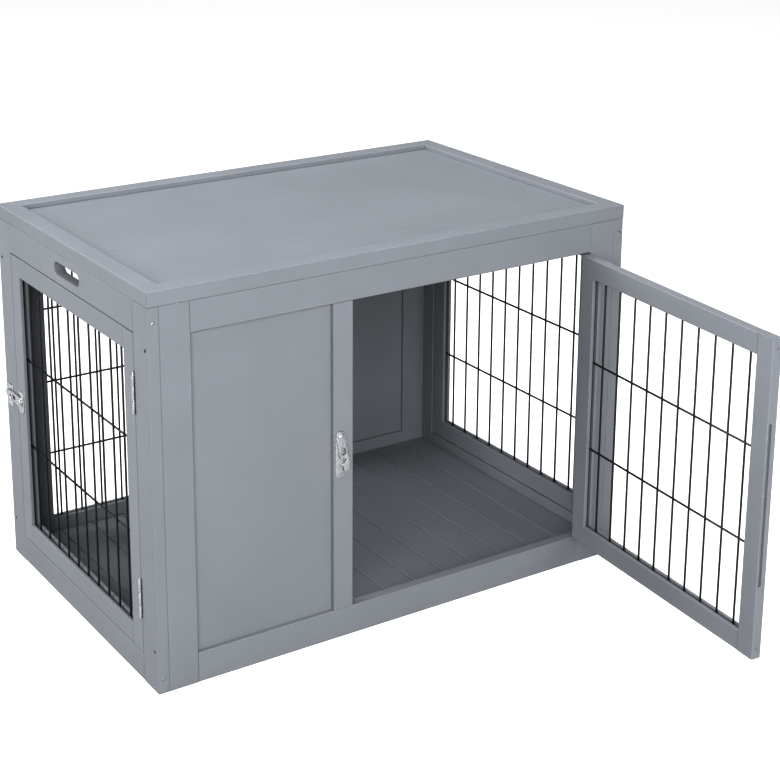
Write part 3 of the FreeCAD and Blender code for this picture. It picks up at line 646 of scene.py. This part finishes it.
def hinge_leaf(on_door):
    """A leaf with round knuckles and three countersunk screws, standing on the hinge axis."""
    side = HINGE_EDGE if on_door else -HINGE_EDGE - LEAF_THICK
    leaf = box((side, -LEAF_WIDE, 0), (side + LEAF_THICK, 0, HINGE_HIGH))
    outer = 0.1 - LEAF_WIDE
    round_edges(leaf, lambda a, b: a.y < outer and b.y < outer and abs(a.z - b.z) < 0.01, LEAF_CORNER, 4)
    step = HINGE_HIGH / KNUCKLES
    radius = sizes().knuckle_across / 2
    knuckles = []
    for number in range(KNUCKLES):
        if (number % 2 == 1) == on_door:
            start = (0, 0, (number * step + KNUCKLE_GAP) * MM)
            barrel = bar(radius, (step - 2 * KNUCKLE_GAP) * MM, 24, start)
            knuckles.append(soften(barrel, 0.35 * MM))
        else:
            bottom, top = number * step - KNUCKLE_GAP, (number + 1) * step + KNUCKLE_GAP
            carve(leaf, box((side - 1, -radius / MM - 2 * KNUCKLE_GAP, bottom), (side + 2.2, 1, top)))
    soften(leaf, 0.15 * MM, 1)
    way = -1 if on_door else 1
    just_proud = (-way * HINGE_EDGE + way * 0.05) * MM
    head = screw_head(sizes().small_screw_across, 1.0 * MM)
    screws = [copy_to(head, facing((just_proud, -LEAF_SCREWS_IN * MM, height * MM), (way, 0, 0), height * 7))
              for height in LEAF_SCREWS]
    discard(head)
    return join([leaf] + knuckles + screws)


def hinge_heights(door):
    """The feet of a door's lower and upper hinges."""
    low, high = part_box(door + "_hinge_leaves")
    return (low.z, high.z - HINGE_HIGH * MM)


class CRATE_OT_hinges(bpy.types.Operator):
    """Make the butt hinges of the three doors"""
    bl_idname = "crate.hinges"
    bl_label = "Hinges"

    def execute(self, context):
        zinc = finish_named("bright_zinc_plated_steel")
        door_leaf = hinge_leaf(True)
        frame_leaf = hinge_leaf(False)
        # The pin stands 1 mm out of the knuckles at both ends.
        pin = bar(sizes().pin_across / 2, (HINGE_HIGH + 2) * MM, 20, (0, 0, -MM))
        soften(pin, 0.6 * MM, 3)
        frame_leaves, pins = [], []
        for door in DOORS:
            own = []
            for height in hinge_heights(door):
                lift = Matrix.Translation((0, 0, height))
                own.append(copy_to(door_leaf, AT_REST[door] @ lift))
                frame_leaves.append(copy_to(frame_leaf, SHUT[door] @ lift))
                pins.append(copy_to(pin, SHUT[door] @ lift))
            complete(join(own), door + "_hinge_plates", door, zinc,
                     [door + "_hinge_leaves"])
        complete(join(frame_leaves), "frame_hinge_plates", "crate", zinc,
                 ["frame_hinge_leaves"])
        complete(join(pins), "hinge_pin_rods", "crate", zinc, ["hinge_pins"])
        discard(door_leaf, frame_leaf, pin)
        return {"FINISHED"}


# ---------------------------------------------------------------- latches

# A latch is drawn flat, in millimetres: +X across from the pivot, +Y up and +Z out from the wood. The end
# doors' latches are the front one's mirror image, so their stud lies along -X.
PLATE = 1.2
STRAP_NEAR, STRAP_FAR = 1.5, 3.0
HEAD_NEAR = 3.3
# The stud sits in the strap's notch, this far along the strap from the pivot and this far below it.
STUD_ALONG, STUD_BELOW = 38.0, 5.3
STUD_ACROSS = math.sqrt(STUD_ALONG ** 2 - STUD_BELOW ** 2)
# The front strap hangs open, 11 degrees off straight down.
HANGING = Matrix.Rotation(math.radians(-79), 4, "Z")


def plate(low, high, corner, segments):
    """A flat plate with round corners and softly pressed edges."""
    piece = box((*low, 0), (*high, PLATE))
    round_edges(piece, upright, corner, segments)
    return soften(piece, 0.3 * MM)


def domed_head(radius, rise, start):
    """A rivet or stud head: a short disc with a rounded crown."""
    disc = bar(radius * MM, rise * MM, 28, Vector(start) * MM)
    edge_top = (start[2] + rise) - 0.01
    round_edges(disc, lambda a, b: a.z > edge_top and b.z > edge_top, rise * 0.75, 4)
    return disc


def with_screws(piece, spots):
    """Small screws that hold a plate to the wood."""
    head = screw_head(sizes().small_screw_across, 0.9 * MM)
    screws = [copy_to(head, facing((x * MM, y * MM, (PLATE + 0.25) * MM), (0, 0, 1), 23 * index))
              for index, (x, y) in enumerate(spots)]
    discard(head)
    return join([piece] + screws)


def pivot_plate(wide, down, up, corner, screw_heights):
    """The plate behind a strap, with the rivet that the strap swings on."""
    post = bar(3.0 * MM, HEAD_NEAR * MM, 28)
    crown = domed_head(4.5, 1.3, (0, 0, HEAD_NEAR))
    flat = plate((-wide / 2, -down), (wide / 2, up), corner, 8)
    return with_screws(join([flat, post, crown]), [(0, height) for height in screw_heights])


def keeper_plate(side, shift):
    """A plate 25 mm wide and 36 mm high, with the stud that the strap's notch drops over."""
    stud = side * STUD_ACROSS
    middle = stud + side * shift
    centre = 4.3 - STUD_BELOW
    flat = plate((middle - 12.5, centre - 18), (middle + 12.5, centre + 18), 2.0, 3)
    post = bar(1.5 * MM, HEAD_NEAR * MM, 24, (stud * MM, -STUD_BELOW * MM, 0))
    crown = domed_head(3.0, 1.2, (stud, -STUD_BELOW, HEAD_NEAR))
    return with_screws(join([flat, post, crown]), [(middle, centre + up) for up in (-13.5, 13.5)])


def strap(side):
    """The swinging strap: a round eye, a finger window, a notch for the stud and a narrow tip."""
    eye, shoulder, end = -8, 46, 57
    notch_half = 1.9

    def slab(x_from, x_to, y_from, y_to, past=0.0):
        left, right = sorted((side * x_from, side * x_to))
        return box((left, y_from, STRAP_NEAR - past), (right, y_to, STRAP_FAR + past))

    def upright_at(x):
        return lambda a, b: upright(a, b) and abs(a.x - side * x) < 0.01 and abs(b.x - side * x) < 0.01

    body = round_edges(slab(eye, shoulder, -8, 8), upright_at(eye), 7.9, 8)
    round_edges(body, upright_at(shoulder), 1.5, 3)
    tip = round_edges(slab(shoulder - 2, end, -5, 5), upright_at(end), 4.9, 8)
    carve(body, tip, operation="UNION")
    window = round_edges(slab(19, 29, -3.5, 3.5, 1), upright, 1.2, 4)
    slot = slab(STUD_ALONG - notch_half, STUD_ALONG + notch_half, -12, 0, 1)
    throat = bar(notch_half * MM, 3.5 * MM, 24, (side * STUD_ALONG * MM, 0, (STRAP_NEAR - 1) * MM))
    mouth = slab(33.7, 41.5, -12, -notch_half, 1)
    carve(body, window, slot, throat, mouth)
    return soften(body, 0.3 * MM)


def flat_on(point, outward):
    """The place of a latch drawn flat: +Z out from the wood and +Y up."""
    out = Vector(outward)
    across = UP.cross(out)
    turned = Matrix((across, UP, out)).transposed().to_4x4()
    return Matrix.Translation(Vector(point)) @ turned


def set_latch(side, pieces, places, bodies):
    """Put a latch's plate, keeper and strap in their places, each on its body."""
    zinc = finish_named("bright_zinc_plated_steel")
    for part, piece, place, body in zip(("plate", "keeper", "strap"), pieces, places, bodies):
        piece.matrix_world = place
        complete(piece, f"{side}_catch_{part}", body, zinc, [f"{side}_latch_{part}"])


class CRATE_OT_latches(bpy.types.Operator):
    """Make the three latches: pivot plates, swinging straps and keepers"""
    bl_idname = "crate.latches"
    bl_label = "Latches"

    def execute(self, context):
        place = flat_on(JOINTS["front_latch_pivot"]["pos_m"], (0, -1, 0))
        swung = AT_REST["front_door"] @ SHUT["front_door"].inverted()
        set_latch("front",
                  (pivot_plate(17.0, 64.5, 8.0, 7.5, (-20, -57)), keeper_plate(1, 1.4), strap(1)),
                  (place, swung @ place, place @ HANGING),
                  ("crate", "front_door", "front_latch"))
        for side, outward in (("left", (-1, 0, 0)), ("right", (1, 0, 0))):
            place = flat_on(JOINTS[side + "_latch_pivot"]["pos_m"], outward)
            set_latch(side,
                      (pivot_plate(24.0, 18.5, 18.5, 9.0, (13, -13)), keeper_plate(-1, 6.7), strap(-1)),
                      (place, place, place),
                      (side + "_door", "crate", side + "_latch"))
        return {"FINISHED"}


# ---------------------------------------------------------------- stage

# Where each softbox hangs and how wide it is, in metres. All of them point at the crate's middle.
SOFTBOXES = {
    "key": ((-3.0, 1.6, 2.0), 2.2),
    "top": ((-0.2, 0.3, 3.4), 2.6),
    "side": ((-2.4, -3.0, 1.8), 2.4),
    "front": ((0.2, -3.6, 1.6), 2.4),
    "fill": ((3.4, 0.4, 1.5), 2.4),
}
CRATE_MIDDLE = Vector((0, 0, 0.3))

# The photo's camera, fitted to 80 of the crate's corners.
CAMERA_PLACE = Vector((-1.3344, -2.2076, 1.2913))
CAMERA_TARGET = Vector((0.0671, 0.0019, 0.5751))
CAMERA = {"sensor_width": 36, "lens": 79.25, "shift_x": 0.0567, "shift_y": -0.235}


def aim(piece, place, target):
    """Point a lamp or a camera from its place at a target."""
    piece.rotation_euler = (target - place).to_track_quat("-Z", "Y").to_euler()


def softbox(name, location, across, power):
    """A square area light that points at the crate."""
    deselect()
    bpy.ops.object.light_add(type="AREA", location=location)
    lamp = bpy.context.object
    lamp.name = lamp.data.name = name
    lamp.data.shape = "SQUARE"
    lamp.data.size = across
    lamp.data.energy = power
    aim(lamp, Vector(location), CRATE_MIDDLE)


class CRATE_OT_stage(bpy.types.Operator):
    """Set up the pale floor, the soft lights and the camera"""
    bl_idname = "crate.stage"
    bl_label = "Studio"

    def execute(self, context):
        scene = context.scene
        studio = scene.crate_stage
        deselect()
        bpy.ops.mesh.primitive_plane_add(size=60, location=(0, 0, -MM))
        floor = bpy.context.object
        floor.name = "studio_floor"
        floor.data.materials.append(self.floor_finish())

        for name, (location, across) in SOFTBOXES.items():
            softbox(name + "_softbox", location, across, getattr(studio, name))
        scene.world = self.white_studio(studio.surround)
        scene.view_settings.view_transform = "Standard"
        scene.view_settings.gamma = studio.contrast

        bpy.ops.object.camera_add(location=CAMERA_PLACE)
        camera = bpy.context.object
        camera.name = "photo_camera"
        aim(camera, CAMERA_PLACE, CAMERA_TARGET)
        for setting, given in CAMERA.items():
            setattr(camera.data, setting, given)
        scene.camera = camera
        return {"FINISHED"}

    @staticmethod
    def white_studio(surround):
        """A white room, as bright as the paper where it is seen and dimmer as a light."""
        world = bpy.data.worlds.new("white_studio")
        world.use_nodes = True
        tree = world.node_tree
        seen = node(tree, "ShaderNodeLightPath").outputs["Is Camera Ray"]
        level = node(tree, "ShaderNodeMapRange", None, {"Value": seen, "To Min": surround, "To Max": 1.0})
        background = tree.nodes["Background"]
        background.inputs["Color"].default_value = (1, 1, 1, 1)
        tree.links.new(level.outputs[0], background.inputs["Strength"])
        return world

    @staticmethod
    def floor_finish():
        """Matt white studio paper, lit from behind so that it is seen white with only a faint shadow."""
        material, tree, shader = new_material("matt_studio_paper")
        place = node(tree, "ShaderNodeTexCoord").outputs["Object"]
        mottle = node(tree, "ShaderNodeTexNoise", None, {"Vector": place, "Scale": 3.0}).outputs[0]
        tone = shift_brightness(tree, colours().floor, mottle, 0.995, 1.0)
        tree.links.new(tone, shader.inputs["Base Color"])
        shader.inputs["Roughness"].default_value = 0.9
        seen = node(tree, "ShaderNodeLightPath").outputs["Is Camera Ray"]
        glow = node(tree, "ShaderNodeMath", {"operation": "MULTIPLY"}, {0: seen, 1: 0.9}).outputs[0]
        shader.inputs["Emission Color"].default_value = (1, 1, 1, 1)
        tree.links.new(glow, shader.inputs["Emission Strength"])
        return material


# ---------------------------------------------------------------- add-on

OPERATORS = (CRATE_OT_paint, CRATE_OT_wires, CRATE_OT_screws, CRATE_OT_hinges, CRATE_OT_latches,
             CRATE_OT_stage)
GROUPS = {"crate_sizes": CrateSizes, "crate_colours": CrateColours, "crate_stage": CrateStage}


class CRATE_PT_sidebar(bpy.types.Panel):
    """The crate's settings, and a button for each group of pieces"""
    bl_idname = "CRATE_PT_sidebar"
    bl_label = "Crate end table"
    bl_space_type = "VIEW_3D"
    bl_region_type = "UI"
    bl_category = "Crate"

    def draw(self, context):
        for name, kind in GROUPS.items():
            column = self.layout.column(align=True)
            for setting in kind.__annotations__:
                column.prop(getattr(context.scene, name), setting)
        for operator in OPERATORS:
            self.layout.operator(operator.bl_idname)


def register():
    for kind in (*GROUPS.values(), *OPERATORS, CRATE_PT_sidebar):
        bpy.utils.register_class(kind)
    for name, kind in GROUPS.items():
        setattr(bpy.types.Scene, name, bpy.props.PointerProperty(type=kind))


def unregister():
    for name in GROUPS:
        delattr(bpy.types.Scene, name)
    for kind in (CRATE_PT_sidebar, *OPERATORS, *GROUPS.values()):
        bpy.utils.unregister_class(kind)


def main():
    register()
    bpy.ops.crate.paint()
    bpy.ops.crate.wires()
    bpy.ops.crate.screws()
    bpy.ops.crate.hinges()
    bpy.ops.crate.latches()
    bpy.ops.crate.stage()


if __name__ == "__main__":
    main()
